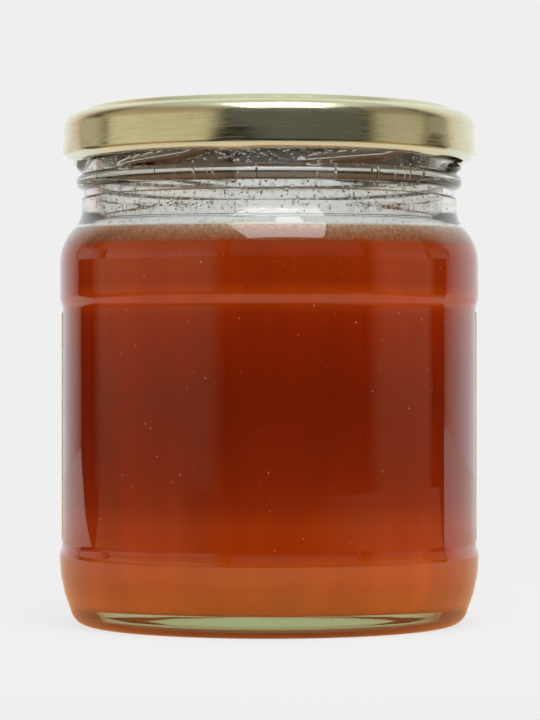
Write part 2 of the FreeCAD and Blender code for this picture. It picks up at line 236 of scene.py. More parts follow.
floor_paper = floor_material()
wall_paper = wall_material()
front_edge = [(FLOOR_FRONT * math.sin(turn), -FLOOR_FRONT * math.cos(turn), 0)
              for turn in (math.radians(15 * step) for step in range(-7, 8))]
flat_sheet("floor_front", front_edge, floor_paper)
flat_sheet("floor_back", [front_edge[0], front_edge[-1], (WALL_RIGHT, WALL_DISTANCE, 0),
                          (WALL_LEFT, WALL_DISTANCE, 0)], floor_paper)
back_wall = flat_sheet("back_wall", [
    (WALL_LEFT, WALL_DISTANCE, 0), (WALL_RIGHT, WALL_DISTANCE, 0),
    (WALL_RIGHT, WALL_DISTANCE, WALL_HEIGHT), (WALL_LEFT, WALL_DISTANCE, WALL_HEIGHT)], wall_paper)
back_wall.visible_camera = False
print("white floor from", FLOOR_FRONT, "m in front to the wall", WALL_DISTANCE, "m behind")

# %% [markdown]
# The floor goes on in front of that paper, but there it gives the jar little to mirror: it is
# dark straight in front, and dim and warm at the sides. Only the camera sees it as white, so
# that the background stays white from every side. The same holds for the room around it all.

# %% Floor farther in front
BOX_DISTANCE = 0.8
SHEET_HEIGHT = 1.0
WARM = (1.0, 0.74, 0.44)
SIDE_GROUND = 0.34
DARK_FRONT = (22, 52)
FAR_FLOOR_ENDS = (-105, 105)
DARK_ROOM = "FFFFFF", 0.025


def scaled(colour, strength):
    """A colour made this many times as strong."""
    return (*[strength * part for part in colour], 1)


def camera_switch(tree, other, through=0.0):
    """White where the camera looks, and another colour for every other ray.

    Rays that went through glass get this share of the white."""
    rays = add(tree, "ShaderNodeLightPath").outputs
    passed = add(tree, "ShaderNodeMath", {"operation": "MULTIPLY"},
                 _0=rays["Is Transmission Ray"], _1=through)
    share = add(tree, "ShaderNodeMath", {"operation": "MAXIMUM"},
                _0=rays["Is Camera Ray"], _1=passed)
    return add(tree, "ShaderNodeMix", {"data_type": "RGBA"}, _0=share, _6=other,
               _7=tone(PAPER_WHITE)).outputs[2]


def azimuth(tree, parts):
    """Turn from the front towards +X, in radians."""
    front = add(tree, "ShaderNodeMath", {"operation": "MULTIPLY"}, _0=parts["Y"], _1=-1.0)
    return add(tree, "ShaderNodeMath", {"operation": "ARCTAN2"}, _0=parts["X"], _1=front)


def far_floor_material():
    """Floor farther in front: dark straight ahead, dim and warm at the sides."""
    material, tree, output = new_material("far_floor_paper")
    place = add(tree, "ShaderNodeTexCoord").outputs["Object"]
    turn = azimuth(tree, add(tree, "ShaderNodeSeparateXYZ", Vector=place).outputs)
    sideways = add(tree, "ShaderNodeMath", {"operation": "ABSOLUTE"}, _0=turn)
    side_share = add(tree, "ShaderNodeMapRange", {"clamp": True}, Value=sideways,
                     From_Min=math.radians(DARK_FRONT[0]), From_Max=math.radians(DARK_FRONT[1]))
    reach = add(tree, "ShaderNodeVectorMath", {"operation": "LENGTH"}, _0=place).outputs[1]
    side_light = add(tree, "ShaderNodeValToRGB", {"stops": [
        (FLOOR_FRONT, (1.0, 0.48, 0.15, 1)), (0.4, scaled(WARM, 1.2 * SIDE_GROUND)),
        (0.6, scaled(WARM, SIDE_GROUND))]}, Fac=reach)
    light = add(tree, "ShaderNodeMix", {"data_type": "RGBA"}, _0=side_share,
                _6=tone(*DARK_ROOM), _7=side_light).outputs[2]
    glow = add(tree, "ShaderNodeEmission", Color=camera_switch(tree, light))
    tree.links.new(glow.outputs[0], output.inputs["Surface"])
    return material


def staged_turn(name, start, end, azimuths, steps, material):
    """A band of the surroundings: a straight edge turned between two azimuths, in degrees."""
    sheet = bmesh.new()
    low, high = (math.radians(angle) for angle in azimuths)
    ends = [sheet.verts.new((across * math.sin(low), -across * math.cos(low), up))
            for across, up in (start, end)]
    edge = sheet.edges.new(ends)
    bmesh.ops.spin(sheet, geom=[*ends, edge], cent=(0, 0, 0), axis=(0, 0, 1), dvec=(0, 0, 0),
                   angle=high - low, steps=steps)
    return staged(name, sheet, material)


far_floor = staged_turn("floor_far", (FLOOR_FRONT, 0), (BOX_DISTANCE, 0), FAR_FLOOR_ENDS, 28,
                        far_floor_material())
far_floor.visible_diffuse = False
print("far floor from", FLOOR_FRONT, "to", BOX_DISTANCE, "m in front")

# %% [markdown]
# The soft boxes are tall curved sheets of light. Each fades out at its two ends, which gives
# the reflections soft edges, and is dimmer and warmer low down, as the light from the honey
# and the floor is. Two small ones higher up brighten the lid's sides, and a lamp that does
# not show in mirrors fills the front.

# %% Soft boxes
HIGH_BOX = (0.135, 0.28)
HIGH_DISTANCE = BOX_DISTANCE - 0.02


def soft_wall(name, azimuths, fades, upper, heights=(0.0, SHEET_HEIGHT), distance=BOX_DISTANCE):
    """A curved light between two azimuths, in degrees from the front towards +X.

    It fades out over this many degrees at each end. Its upper part has this strength."""
    material, tree, output = new_material(name)
    parts = add(tree, "ShaderNodeSeparateXYZ",
                Vector=add(tree, "ShaderNodeTexCoord").outputs["Object"]).outputs
    turn = azimuth(tree, parts)
    low, high = (math.radians(end) for end in azimuths)
    fade_low, fade_high = (math.radians(fade) for fade in fades)
    rise = add(tree, "ShaderNodeMapRange", {"clamp": True, "interpolation_type": "SMOOTHSTEP"},
               Value=turn, From_Min=low, From_Max=low + fade_low)
    fall = add(tree, "ShaderNodeMapRange", {"clamp": True, "interpolation_type": "SMOOTHSTEP"},
               Value=turn, From_Min=high - fade_high, From_Max=high, To_Min=1.0, To_Max=0.0)
    colour = add(tree, "ShaderNodeValToRGB", {"stops": [
        (0.0, scaled(WARM, SIDE_GROUND)), (0.04, scaled(WARM, 0.5)), (0.08, scaled(WARM, 0.6)),
        (0.12, scaled(WARM, 0.9 * upper)), (0.15, scaled((0.93, 0.88, 0.76), upper)),
        (0.2, scaled((0.85, 0.74, 0.58), upper)), (0.32, scaled((0.6, 0.47, 0.33), upper)),
        (0.6, scaled((0.5, 0.39, 0.28), upper))]}, Fac=parts["Z"])
    strength = add(tree, "ShaderNodeMath", {"operation": "MULTIPLY"}, _0=rise, _1=fall)
    glow = add(tree, "ShaderNodeEmission", Color=colour, Strength=strength)
    tree.links.new(glow.outputs[0], output.inputs["Surface"])
    made = staged_turn(name, *[(distance, height) for height in heights], azimuths, 24, material)
    made.visible_camera = False


def soft_box(name, azimuths, heights, radiance, rise=0.0):
    """A flat lamp between two azimuths and two heights, swung up by a rise in radians."""
    turn = math.radians(sum(azimuths) / 2)
    reach = math.radians((azimuths[1] - azimuths[0]) / 2)
    lamp = bpy.data.lights.new(name, "AREA")
    lamp.shape = "RECTANGLE"
    lamp.size = 2 * BOX_DISTANCE * math.tan(reach)
    lamp.size_y = heights[1] - heights[0]
    lamp.energy = radiance * math.pi * lamp.size * lamp.size_y
    box = bpy.data.objects.new(name, lamp)
    way = Vector((math.sin(turn) * math.cos(rise), -math.cos(turn) * math.cos(rise),
                  math.sin(rise)))
    box.location = way * BOX_DISTANCE + Vector((0, 0, sum(heights) / 2))
    box.rotation_euler = way.to_track_quat("Z", "Y").to_euler()
    scene.collection.objects.link(box)
    return box


soft_wall("soft_box_left", (-113, -21), (14, 14), 1.0)
soft_wall("soft_box_right", (51, 101), (13, 8), 0.72)
soft_wall("high_box_left", (-127, -98), (2, 10), 0.72, HIGH_BOX, HIGH_DISTANCE)
soft_wall("high_box_right", (93, 113), (5, 2), 0.5, HIGH_BOX, HIGH_DISTANCE)
soft_box("top", (-8, 28), (-0.2, 0.31), 5.0, math.radians(60))
fill = soft_box("front_fill", (-40, 40), (0.0, 0.9), 1.5)
fill.visible_glossy = False
fill.visible_camera = False
print("lamps:", [lamp.name for lamp in bpy.data.lights])

# %% [markdown]
# The rest of the room is dark near the floor and a little brighter overhead. Glass lets most
# of the white background through, so rays that passed it see the room paler.

# %% Faint light of the room
GLASS_SHARE = 0.7
room = bpy.data.worlds.new("room")
room.use_nodes = True
sky = room.node_tree
up = add(sky, "ShaderNodeSeparateXYZ", Vector=add(sky, "ShaderNodeTexCoord").outputs["Generated"])
level = add(sky, "ShaderNodeValToRGB", {"stops": [
    (0.0, tone(*DARK_ROOM)), (0.05, tone("FFFFFF", 0.03)), (0.12, tone("FFFFFF", 0.15)),
    (0.6, tone("FFFFFF", 0.22)), (0.93, tone("FFFFFF", 0.8))]}, Fac=up.outputs["Z"])
sky.links.new(camera_switch(sky, level, GLASS_SHARE), sky.nodes["Background"].inputs["Color"])
scene.world = room
print("world:", room.name)

# %% [markdown]
# ## Outlines to turn
# Jar, honey and lid are all round, so each is drawn as half a section and turned about Z
# with the spin operator. An outline is a list of corners, across and up in millimetres. A
# corner may also carry a radius and a side: it is then reached by an arc, and not straight.
# Straight runs get a row close to each end, which keeps smooth shading from bending there.

# %% Draw and turn an outline
LEFT, RIGHT = 1, -1
ARC_STEP = math.radians(9)
END_ROW = 0.12
TURN_STEPS = 288


def tangent_radius(width, height):
    """Radius of an arc of this width and height that starts or ends along its height."""
    return (width ** 2 + height ** 2) / (2 * width)


def arc_points(start, end, radius, side):
    """Points on the shorter arc from start to end, centre on this side of the way."""
    chord = end - start
    middle = (start + end) / 2
    across = Vector((-chord.y, chord.x)).normalized()
    centre = middle + across * side * math.sqrt(max(radius ** 2 - (chord.length / 2) ** 2, 0))
    first = start - centre
    sweep = 2 * math.asin(min(chord.length / (2 * radius), 1)) * side
    steps = max(2, math.ceil(abs(sweep) / ARC_STEP))
    turns = [Matrix.Rotation(sweep * step / steps, 2) for step in range(1, steps)]
    return [centre + turn @ first for turn in turns] + [end]


def straight_points(start, end):
    """The end of a straight run, with a row close to each of its ends if it is long."""
    run = end - start
    if run.length < 3 * END_ROW:
        return [end]
    step = run.normalized() * END_ROW
    return [start + step, end - step, end]


def outline(corners):
    """All points of an outline."""
    points = [Vector(corners[0][:2])]
    for across, up, *arc in corners[1:]:
        end = Vector((across, up))
        points += arc_points(points[-1], end, *arc) if arc else straight_points(points[-1], end)
    return points


def turned(points, closed=False, angle=math.tau, steps=TURN_STEPS, start=0.0):
    """Turn an outline about Z into a shell."""
    mesh = bmesh.new()
    verts = [mesh.verts.new((point.x * MM, 0, point.y * MM)) for point in points]
    edges = [mesh.edges.new(pair) for pair in zip(verts, verts[1:])]
    if closed:
        edges.append(mesh.edges.new((verts[-1], verts[0])))
    bmesh.ops.rotate(mesh, cent=(0, 0, 0), matrix=Matrix.Rotation(start, 3, "Z"), verts=verts)
    full = angle == math.tau
    bmesh.ops.spin(mesh, geom=verts + edges, cent=(0, 0, 0), axis=(0, 0, 1), dvec=(0, 0, 0),
                   angle=angle, steps=steps, use_merge=full)
    bmesh.ops.remove_doubles(mesh, verts=mesh.verts, dist=1e-7)
    bmesh.ops.recalc_face_normals(mesh, faces=mesh.faces)
    return mesh


print("a full turn has", TURN_STEPS, "steps")

# %% [markdown]
# ## Sizes of the jar
# The overall sizes come from the frame: how wide the glass is, where the lid begins, how
# high the honey stands. The small rounds and walls are those of the pressed glass. In the
# steep part of the shoulder the glass is a little thinner inside than in the measured
# model, so that the pale top of the foam does not shine through it as a grey band.

# %% Sizes from the frame, in millimetres
def span(node):
    """Lowest and highest corner of a node in millimetres."""
    low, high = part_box(node)
    return Vector(low) / MM, Vector(high) / MM


glass_low, glass_high = span("glass_jar")
lid_low, lid_high = span("lid")
honey_low, honey_high = span("honey")
foam_high = span("honey_foam")[1]
label_low, label_high = span("label")

BODY = round((glass_high.x - glass_low.x) / 2, 2)
RIM_TOP = glass_high.z
NECK = BODY - 4.9
RIM_EDGE = NECK - 0.55
NECK_FOOT_RADIUS = NECK + 0.4
NECK_FOOT = RIM_TOP - 20.65
SLOPE_RUN = 1.12
SLOPE_RISE = 1.4
SLOPE_TOP = NECK_FOOT - 3.0
SLOPE_FOOT = SLOPE_TOP - SLOPE_RISE
SHOULDER_WIDTH = 2.33
SHOULDER_RISE = 6.5
SHOULDER_FOOT = SLOPE_FOOT - SHOULDER_RISE
PUSH_UP = 1.6
STAND_ROUND = 3.75
STAND_RISE = 3.1
HEEL_WIDTH = 2.3
BULGE_TOP = 14.2
BLEND = 2.8
PANEL = BODY - 0.55
PANEL_TOP = SHOULDER_FOOT - 6.9 - BLEND
WALL = 2.9
INNER = BODY - WALL
BORE = NECK - 2.45
SLOPE = math.atan2(SLOPE_RUN, SLOPE_RISE)
THINNING = 1.0
HOLLOW_FOOT = Vector((BODY - SHOULDER_WIDTH - WALL * math.cos(SLOPE),
                      SLOPE_FOOT - WALL * math.sin(SLOPE) + THINNING))
HOLLOW_TOP = HOLLOW_FOOT + Vector((-SLOPE_RUN, SLOPE_RISE))
FLOOR = honey_low.z
CORNER = 6.0
HONEY_TOP = honey_high.z
FOAM_TOP = foam_high.z
LID_FOOT = lid_low.z
LID_TOP = lid_high.z
print("glass", BODY, "by", round(RIM_TOP, 2), "honey to", round(HONEY_TOP, 2),
      "lid from", round(LID_FOOT, 2), "to", round(LID_TOP, 2))

# %% [markdown]
# ## Soda-lime glass
# A jar is pressed and blown from molten glass in a mould, which leaves it clear, very
# smooth and faintly green where it is thick. The green is a light absorption inside the
# glass, so the thick floor shows it and the thin wall hardly does. The outside was touched
# by the mould and waves a little, which bends every reflection slightly. The inside of the
# neck is misted with a thin film, so it has its own rougher finish.

# %% Glass
GLASS_WAVE = 14.0
WAVE_DEPTH = 0.07
# The film is far finer in truth and would not show, so its grain is drawn this coarse.
FILM_GRAIN = 0.9
GLASS_GREEN = (0.7, 0.81, 0.5, 1.0)
GLASS_DENSITY = 29.0


def glass_material():
    """Clear glass with a waving surface; the inside of the neck has a film on it."""
    material, tree, output = new_material("soda_lime_glass")
    place = add(tree, "ShaderNodeTexCoord").outputs["Object"]
    parts = add(tree, "ShaderNodeSeparateXYZ", Vector=place).outputs
    flat = add(tree, "ShaderNodeCombineXYZ", X=parts["X"], Y=parts["Y"]).outputs[0]
    radius = add(tree, "ShaderNodeVectorMath", {"operation": "LENGTH"}, _0=flat).outputs[1]
    inside = add(tree, "ShaderNodeMath", {"operation": "LESS_THAN"},
                 _0=radius, _1=(BORE + 1.1) * MM)
    above = add(tree, "ShaderNodeMapRange", {"clamp": True}, Value=parts["Z"],
                From_Min=FOAM_TOP * MM, From_Max=(FOAM_TOP + 3) * MM)
    filmed = add(tree, "ShaderNodeMath", {"operation": "MULTIPLY"}, _0=inside, _1=above)
    waves = add(tree, "ShaderNodeTexNoise", Vector=place, Scale=1 / (GLASS_WAVE * MM),
                Detail=1.0)
    bump = add(tree, "ShaderNodeBump", Height=waves.outputs["Fac"], Distance=WAVE_DEPTH * MM,
               Strength=1.0)
    grain = add(tree, "ShaderNodeTexNoise", Vector=place, Scale=1 / (FILM_GRAIN * MM),
                Detail=4.0, Roughness=0.7)
    film = add(tree, "ShaderNodeMapRange", {"clamp": True}, Value=grain.outputs["Fac"],
               From_Min=0.42, From_Max=0.66, To_Min=0.0, To_Max=0.16)
    rough = add(tree, "ShaderNodeMath", {"operation": "MULTIPLY"}, _0=film, _1=filmed)
    shader = add(tree, "ShaderNodeBsdfPrincipled", IOR=1.52, Transmission_Weight=1.0,
                 Normal=bump, Roughness=rough)
    depth = add(tree, "ShaderNodeVolumeAbsorption", Color=GLASS_GREEN, Density=GLASS_DENSITY)
    tree.links.new(shader.outputs[0], output.inputs["Surface"])
    tree.links.new(depth.outputs[0], output.inputs["Volume"])
    return material


clear_glass = glass_material()
print("glass:", clear_glass.name)

# %% [markdown]
# ## The glass jar
# The whole jar is one shell: outline down the outside and up the inside. Six threads stand
# on the neck. They are slanted ridges that begin low with a pointed end and climb to the
# right under the lid, so they are raised from the turned neck, vertex by vertex, which
# keeps glass and thread one smooth skin without a seam inside.

# %% Outline of the glass
def glass_points():
    """The jar's section: outside from the push-up to the rim, then the inside back down."""
    heel, stand = BODY - HEEL_WIDTH, BODY - HEEL_WIDTH - STAND_ROUND
    half_depth, half_blend = (BODY - PANEL) / 2, BLEND / 2
    blend = tangent_radius(half_depth, half_blend)
    panel_foot = BULGE_TOP + BLEND
    bead_foot = NECK_FOOT + 4.15
    thread_rows = [(NECK, bead_foot + 3.25 + row * 0.3) for row in range(1, 27)]
    outside = [
        (0, PUSH_UP), (stand - 6.2, PUSH_UP),
        (stand - 3.2, 0, tangent_radius(PUSH_UP, 3.0), RIGHT), (stand, 0),
        (heel, STAND_RISE, tangent_radius(STAND_RISE, STAND_ROUND), LEFT),
        (BODY, BULGE_TOP, tangent_radius(HEEL_WIDTH, 11.1), LEFT),
        (BODY - half_depth, BULGE_TOP + half_blend, blend, LEFT),
        (PANEL, panel_foot, blend, RIGHT), (PANEL, PANEL_TOP),
        (PANEL + half_depth, PANEL_TOP + half_blend, blend, RIGHT),
        (BODY, PANEL_TOP + BLEND, blend, LEFT), (BODY, SHOULDER_FOOT),
        (BODY - SHOULDER_WIDTH, SLOPE_FOOT, tangent_radius(SHOULDER_WIDTH, SHOULDER_RISE), LEFT),
        (NECK_FOOT_RADIUS + 1.05, SLOPE_TOP),
        (NECK_FOOT_RADIUS, NECK_FOOT, tangent_radius(1.05, 3.0), RIGHT),
        (NECK_FOOT_RADIUS, NECK_FOOT + 2.3), (NECK, NECK_FOOT + 2.6), (NECK, bead_foot),
        (NECK, bead_foot + 3.25, tangent_radius(1.5, 1.625), LEFT), *thread_rows,
        (RIM_EDGE, RIM_TOP - 0.95), (RIM_EDGE - 0.95, RIM_TOP, 0.95, LEFT),
    ]
    inside = [
        (BORE + 0.75, RIM_TOP), (BORE, RIM_TOP - 0.75, 0.75, LEFT), (BORE, NECK_FOOT),
        (*HOLLOW_TOP, tangent_radius(HOLLOW_TOP.x - BORE, NECK_FOOT - HOLLOW_TOP.y), LEFT),
        tuple(HOLLOW_FOOT),
        (INNER, SHOULDER_FOOT,
         tangent_radius(INNER - HOLLOW_FOOT.x, HOLLOW_FOOT.y - SHOULDER_FOOT), RIGHT),
        (INNER, FLOOR + CORNER), (INNER - CORNER, FLOOR, CORNER, RIGHT), (0, FLOOR),
    ]
    return outline(outside + inside)


print("glass outline:", len(glass_points()), "points")

# %% Threads on the neck
THREAD_COUNT = 6
THREAD_START = math.radians(-51.5)
THREAD_LENGTH = math.radians(52)
THREAD_SEAT = math.radians(26)
THREAD_FADE = math.radians(9)
SEAT_RISE = 1.7
RAMP_PER_DEGREE = 0.178
THREAD_LOW = 2.2
THREAD_HALF = 1.1
THREAD_DEPTH = 1.5
FRONT = -math.pi / 2


def thread_rise(way):
    """Height of a thread's middle above its low end: a gentle seat, then a steep ramp."""
    if way <= THREAD_SEAT:
        return SEAT_RISE * way / THREAD_SEAT
    return SEAT_RISE + RAMP_PER_DEGREE * math.degrees(way - THREAD_SEAT)


def raise_threads(mesh):
    """Push the outside of the neck outwards along the threads."""
    for vert in mesh.verts:
        radius = vert.co.xy.length / MM
        up = vert.co.z / MM
        if radius < NECK - 0.6 or not LID_FOOT - 4 < up < RIM_TOP - 3:
            continue
        turn = math.atan2(vert.co.y, vert.co.x) - FRONT - THREAD_START
        way = turn % (math.tau / THREAD_COUNT)
        if way > THREAD_LENGTH:
            continue
        fade = math.sin(min(way, THREAD_LENGTH - way, THREAD_FADE) / THREAD_FADE * math.pi / 2)
        half = THREAD_HALF * (0.5 + 0.5 * fade)
        off = abs(up - (LID_FOOT - THREAD_LOW + thread_rise(way))) / half
        if off < 1:
            grown = (radius + THREAD_DEPTH * fade * math.cos(off * math.pi / 2) ** 0.8) / radius
            vert.co.x *= grown
            vert.co.y *= grown


glass_mesh = turned(glass_points())
raise_threads(glass_mesh)
make_piece("jar_glass", glass_mesh, [clear_glass], ["glass_jar"])

# %% [markdown]
# ## Honey
# Dark honey lets light in but scatters it on the way, so from outside it looks like a deep
# colour that comes from below the surface. It is a full solid that reaches just into the
# glass wall, so no air shows between them. Its amber colour carries painted shade and painted
# light: it is painted darkest where the label behind it keeps the light away, and painted warmer
# above and below the label and towards the sides. Fine crystals cloud it in faint streaks.
# Where it stands on the glass floor it shines a little.

# %% Honey material
SEAT = 0.06
STREAK = 8
COLOUR_HEIGHT = 80
# Painted shade: the honey's middle is painted this much darker than its sides.
PAINTED_MIDDLE_SHADE = 0.81


def honey_material(name, shine):
    """Dark amber honey, clouded a little in hanging streaks of fine crystals, with painted shade and
    light.
    """
    material, tree, output = new_material(name)
    place = add(tree, "ShaderNodeTexCoord").outputs["Object"]
    parts = add(tree, "ShaderNodeSeparateXYZ", Vector=place).outputs
    up = add(tree, "ShaderNodeMapRange", {"clamp": True}, Value=parts["Z"],
             From_Min=0.0, From_Max=COLOUR_HEIGHT * MM)
    # The honey's amber with painted shade and painted light by height: darkest behind the label,
    # painted brighter near the floor and just above the label.
    depth = add(tree, "ShaderNodeValToRGB", {"stops": [
        (0.05, tone("F8962E")), (0.085, tone("F08828")), (0.12, tone("E2701C")),
        (0.17, tone("DE6816")), (0.21, tone("D04A04")), (0.27, tone("CA4C0E")),
        (0.32, tone("B43C0C")), (0.39, tone("A8340A")), (0.50, tone("9F2E07")),
        (0.60, tone("9B2C04")), (0.74, tone("AC3002")), (0.79, tone("B83A05")),
        (0.83, tone("DE560E")), (0.87, tone("BC3E06")), (0.94, tone("BA4006")),
        (1.0, tone("A84C1A"))]}, Fac=up)
    hanging = add(tree, "ShaderNodeMapping", Vector=place, Scale=(1.0, 1.0, 0.15))
    clouds = add(tree, "ShaderNodeTexNoise", Vector=hanging, Scale=1 / (STREAK * MM), Detail=3.0)
    cloud = add(tree, "ShaderNodeMapRange", Value=clouds.outputs["Fac"],
                From_Min=0.3, From_Max=0.7, To_Min=0.91, To_Max=1.09)
    # Painted light: the honey is painted brighter towards its sides, where no label is behind it.
    sideways = add(tree, "ShaderNodeMath", {"operation": "ABSOLUTE"}, _0=parts["X"])
    out = add(tree, "ShaderNodeMapRange", {"clamp": True}, Value=sideways,
              From_Min=0.0, From_Max=BODY * MM)
    glow = add(tree, "ShaderNodeValToRGB", {"stops": [
        (0.3, (PAINTED_MIDDLE_SHADE, PAINTED_MIDDLE_SHADE, PAINTED_MIDDLE_SHADE, 1)), (0.62, (1.0, 0.96, 0.83, 1))]},
        Fac=out)
    lit = add(tree, "ShaderNodeMix", {"data_type": "RGBA", "blend_type": "MULTIPLY"}, _0=1.0,
              _6=depth, _7=glow).outputs[2]
    lit = add(tree, "ShaderNodeVectorMath", {"operation": "SCALE"}, _0=lit,
              Scale=1.0 / PAINTED_MIDDLE_SHADE)
    colour = add(tree, "ShaderNodeMix", {"data_type": "RGBA", "blend_type": "MULTIPLY"}, _0=1.0,
                 _6=lit, _7=cloud)
    shader = add(tree, "ShaderNodeBsdfPrincipled", IOR=1.49, Roughness=0.02,
                 Base_Color=colour.outputs[2], Specular_IOR_Level=shine)
    tree.links.new(shader.outputs[0], output.inputs["Surface"])
    return material


def room_points(top, reach):
    """The jar's inside, from its floor up to this height, grown by reach into the glass."""
    points = outline([
        (0, FLOOR - reach), (INNER - CORNER, FLOOR - reach),
        (INNER + reach, FLOOR + CORNER, CORNER + reach, LEFT), (INNER + reach, SHOULDER_FOOT)])
    return points + shoulder_points(SHOULDER_FOOT, top, reach)


def inner_radius(up):
    """Radius of the jar's inside in the shoulder's round."""
    height = HOLLOW_FOOT.y - SHOULDER_FOOT
    round_radius = tangent_radius(INNER - HOLLOW_FOOT.x, height)
    rise = up - SHOULDER_FOOT
    if rise <= height:
        return INNER - round_radius + math.sqrt(round_radius ** 2 - max(rise, 0) ** 2)
    return HOLLOW_FOOT.x - (rise - height) * math.tan(SLOPE)


def shoulder_points(low, top, reach, step=0.4):
    """Points up the inside of the shoulder between two heights."""
    count = max(1, math.ceil((top - low) / step))
    heights = [low + (top - low) * index / count for index in range(1, count + 1)]
    return [Vector((inner_radius(up) + reach, up)) for up in heights]


amber_honey = honey_material("dark_amber_honey", 0.0)
floor_honey = honey_material("dark_amber_honey_on_the_glass_floor", 0.5)
honey_mesh = turned(room_points(HONEY_TOP, SEAT) + [Vector((0, HONEY_TOP))])
for face in honey_mesh.faces:
    face.material_index = int(face.calc_center_median().z < (FLOOR + 0.4) * MM)
make_piece("honey_fill", honey_mesh, [amber_honey, floor_honey], ["honey"])

# %% [markdown]
# ## Foam
# Air that was stirred in rises and stays on top as a thin layer of very fine bubbles. Its
# lower edge is ragged, because the bubbles hang together in small clumps.

# %% Foam
# Single bubbles would not show, so the grain is that of clumps of them.
GRAIN = 0.7
FOAM_SINK = 0.5
RAGGED = 0.45
CLUMP = 1.1


def foam_material():
    """Fine wet foam: pale tan, clumped and grainy."""
    material, tree, output = new_material("fine_honey_foam")
    place = add(tree, "ShaderNodeTexCoord").outputs["Object"]
    grain = add(tree, "ShaderNodeTexNoise", Vector=place, Scale=1 / (GRAIN * MM), Detail=5.0,
                Roughness=0.65)
    height = add(tree, "ShaderNodeSeparateXYZ", Vector=place).outputs["Z"]
    up = add(tree, "ShaderNodeMapRange", {"clamp": True}, Value=height,
             From_Min=(HONEY_TOP - 0.6) * MM, From_Max=FOAM_TOP * MM)
    uneven = add(tree, "ShaderNodeMath", {"operation": "SUBTRACT"},
                 _0=grain.outputs["Fac"], _1=0.5)
    uneven = add(tree, "ShaderNodeMath", {"operation": "MULTIPLY"}, _0=uneven, _1=1.4)
    shade = add(tree, "ShaderNodeMath", {"operation": "ADD"}, _0=up, _1=uneven)
    colour = add(tree, "ShaderNodeValToRGB", {"stops": [
        (0.0, tone("AC5222")), (0.35, tone("B0744C")), (0.7, tone("BE9070")),
        (1.0, tone("DCC2A8"))]}, Fac=shade)
    dry = add(tree, "ShaderNodeMapRange", {"clamp": True}, Value=height,
              From_Min=(FOAM_TOP - 0.25) * MM, From_Max=(FOAM_TOP - 0.05) * MM)
    froth = add(tree, "ShaderNodeMix", {"data_type": "RGBA"}, _0=dry, _6=colour,
                _7=tone("F6F1E6"))
    bump = add(tree, "ShaderNodeBump", Height=grain.outputs["Fac"], Distance=0.1 * MM,
               Strength=0.6)
    shader = add(tree, "ShaderNodeBsdfPrincipled", IOR=1.4, Roughness=0.45,
                 Base_Color=froth.outputs[2], Specular_IOR_Level=0.1, Normal=bump)
    tree.links.new(shader.outputs[0], output.inputs["Surface"])
    return material


FOAM_FOOT = HONEY_TOP - FOAM_SINK
foam_seat = SEAT + 0.03
foam_edge = [Vector((0, FOAM_FOOT)), Vector((inner_radius(FOAM_FOOT) + foam_seat, FOAM_FOOT))]
foam_sides = shoulder_points(FOAM_FOOT, FOAM_TOP, foam_seat, 0.3)
foam_mesh = turned(foam_edge + foam_sides + [Vector((0, FOAM_TOP))])
for vert in foam_mesh.verts:
    if vert.co.z / MM < HONEY_TOP - 0.3 and vert.co.xy.length / MM > 20:
        vert.co.z += noise.noise(vert.co / (CLUMP * MM)) * RAGGED * MM
make_piece("honey_foam_layer", foam_mesh, [foam_material()], ["honey_foam"])

# %% [markdown]
# ## Drops, specks and bubbles
# Filling and shaking leave marks on the inside of the neck: clear drops of dew under the
# lid, and grains of wax and dried honey lower down. A few crumbs of wax have sunk just
# below the foam, and fine bubbles hang in the honey at the wall. All are tiny rounded
# blobs, flattened against the glass and scattered at random, with one seed, so that they
# fall in the same places every time. Heights are in millimetres.

# %% Scatter tiny blobs on a round wall
random.seed(4)
BATCH = 40


def blob(turn, up, radius, size, flat, tall=1.0):
    """Place and shape of one blob on the wall, at this turn from the front."""
    place = Matrix.Rotation(FRONT + turn, 4, "Z") @ Matrix.Translation((radius * MM, 0, up * MM))
    tilt = Matrix.Rotation(random.uniform(-0.6, 0.6), 4, "X")
    return place @ tilt @ Matrix.Diagonal((size * flat * MM, size * MM, size * tall * MM, 1.0))


def scattered(blobs, detail):
    """One mesh of many blobs, built in batches, as a big mesh slows each new blob."""
    whole = bmesh.new()
    for first in range(0, len(blobs), BATCH):
        batch = bmesh.new()
        for matrix in blobs[first:first + BATCH]:
            bmesh.ops.create_icosphere(batch, subdivisions=detail, radius=1.0, matrix=matrix)
        part = bpy.data.meshes.new("batch")
        batch.to_mesh(part)
        batch.free()
        whole.from_mesh(part)
        bpy.data.meshes.remove(part)
    return whole


def plain_material(name, colour, roughness, **more):
    """A plain finish, for what is too small or too hidden to show a pattern."""
    material, tree, output = new_material(name)
    shader = add(tree, "ShaderNodeBsdfPrincipled", Base_Color=tone(colour),
                 Roughness=roughness, **more)
    tree.links.new(shader.outputs[0], output.inputs["Surface"])
    return material


def around():
    """A random turn anywhere round the jar."""
    return random.uniform(-math.pi, math.pi)


dew = [blob(around(), random.triangular(91.5, 103, 94.5), BORE, random.uniform(0.16, 0.42), 0.4,
            random.uniform(0.7, 1.5)) for _ in range(260)]
dew += [blob(random.uniform(-0.45, 0.35), random.uniform(93.6, 95.6), BORE,
             random.uniform(0.35, 0.65), 0.4, random.uniform(0.6, 0.9)) for _ in range(60)]
dew += [blob(around(), random.uniform(83.5, 95), BORE, random.uniform(0.1, 0.3), 0.35,
             random.uniform(0.8, 2.2)) for _ in range(1000)]
clear_dew = plain_material("clear_dew", "FFFFFF", 0.0, IOR=1.36, Transmission_Weight=1.0)
make_piece("neck_dew", scattered(dew, 2), [clear_dew])

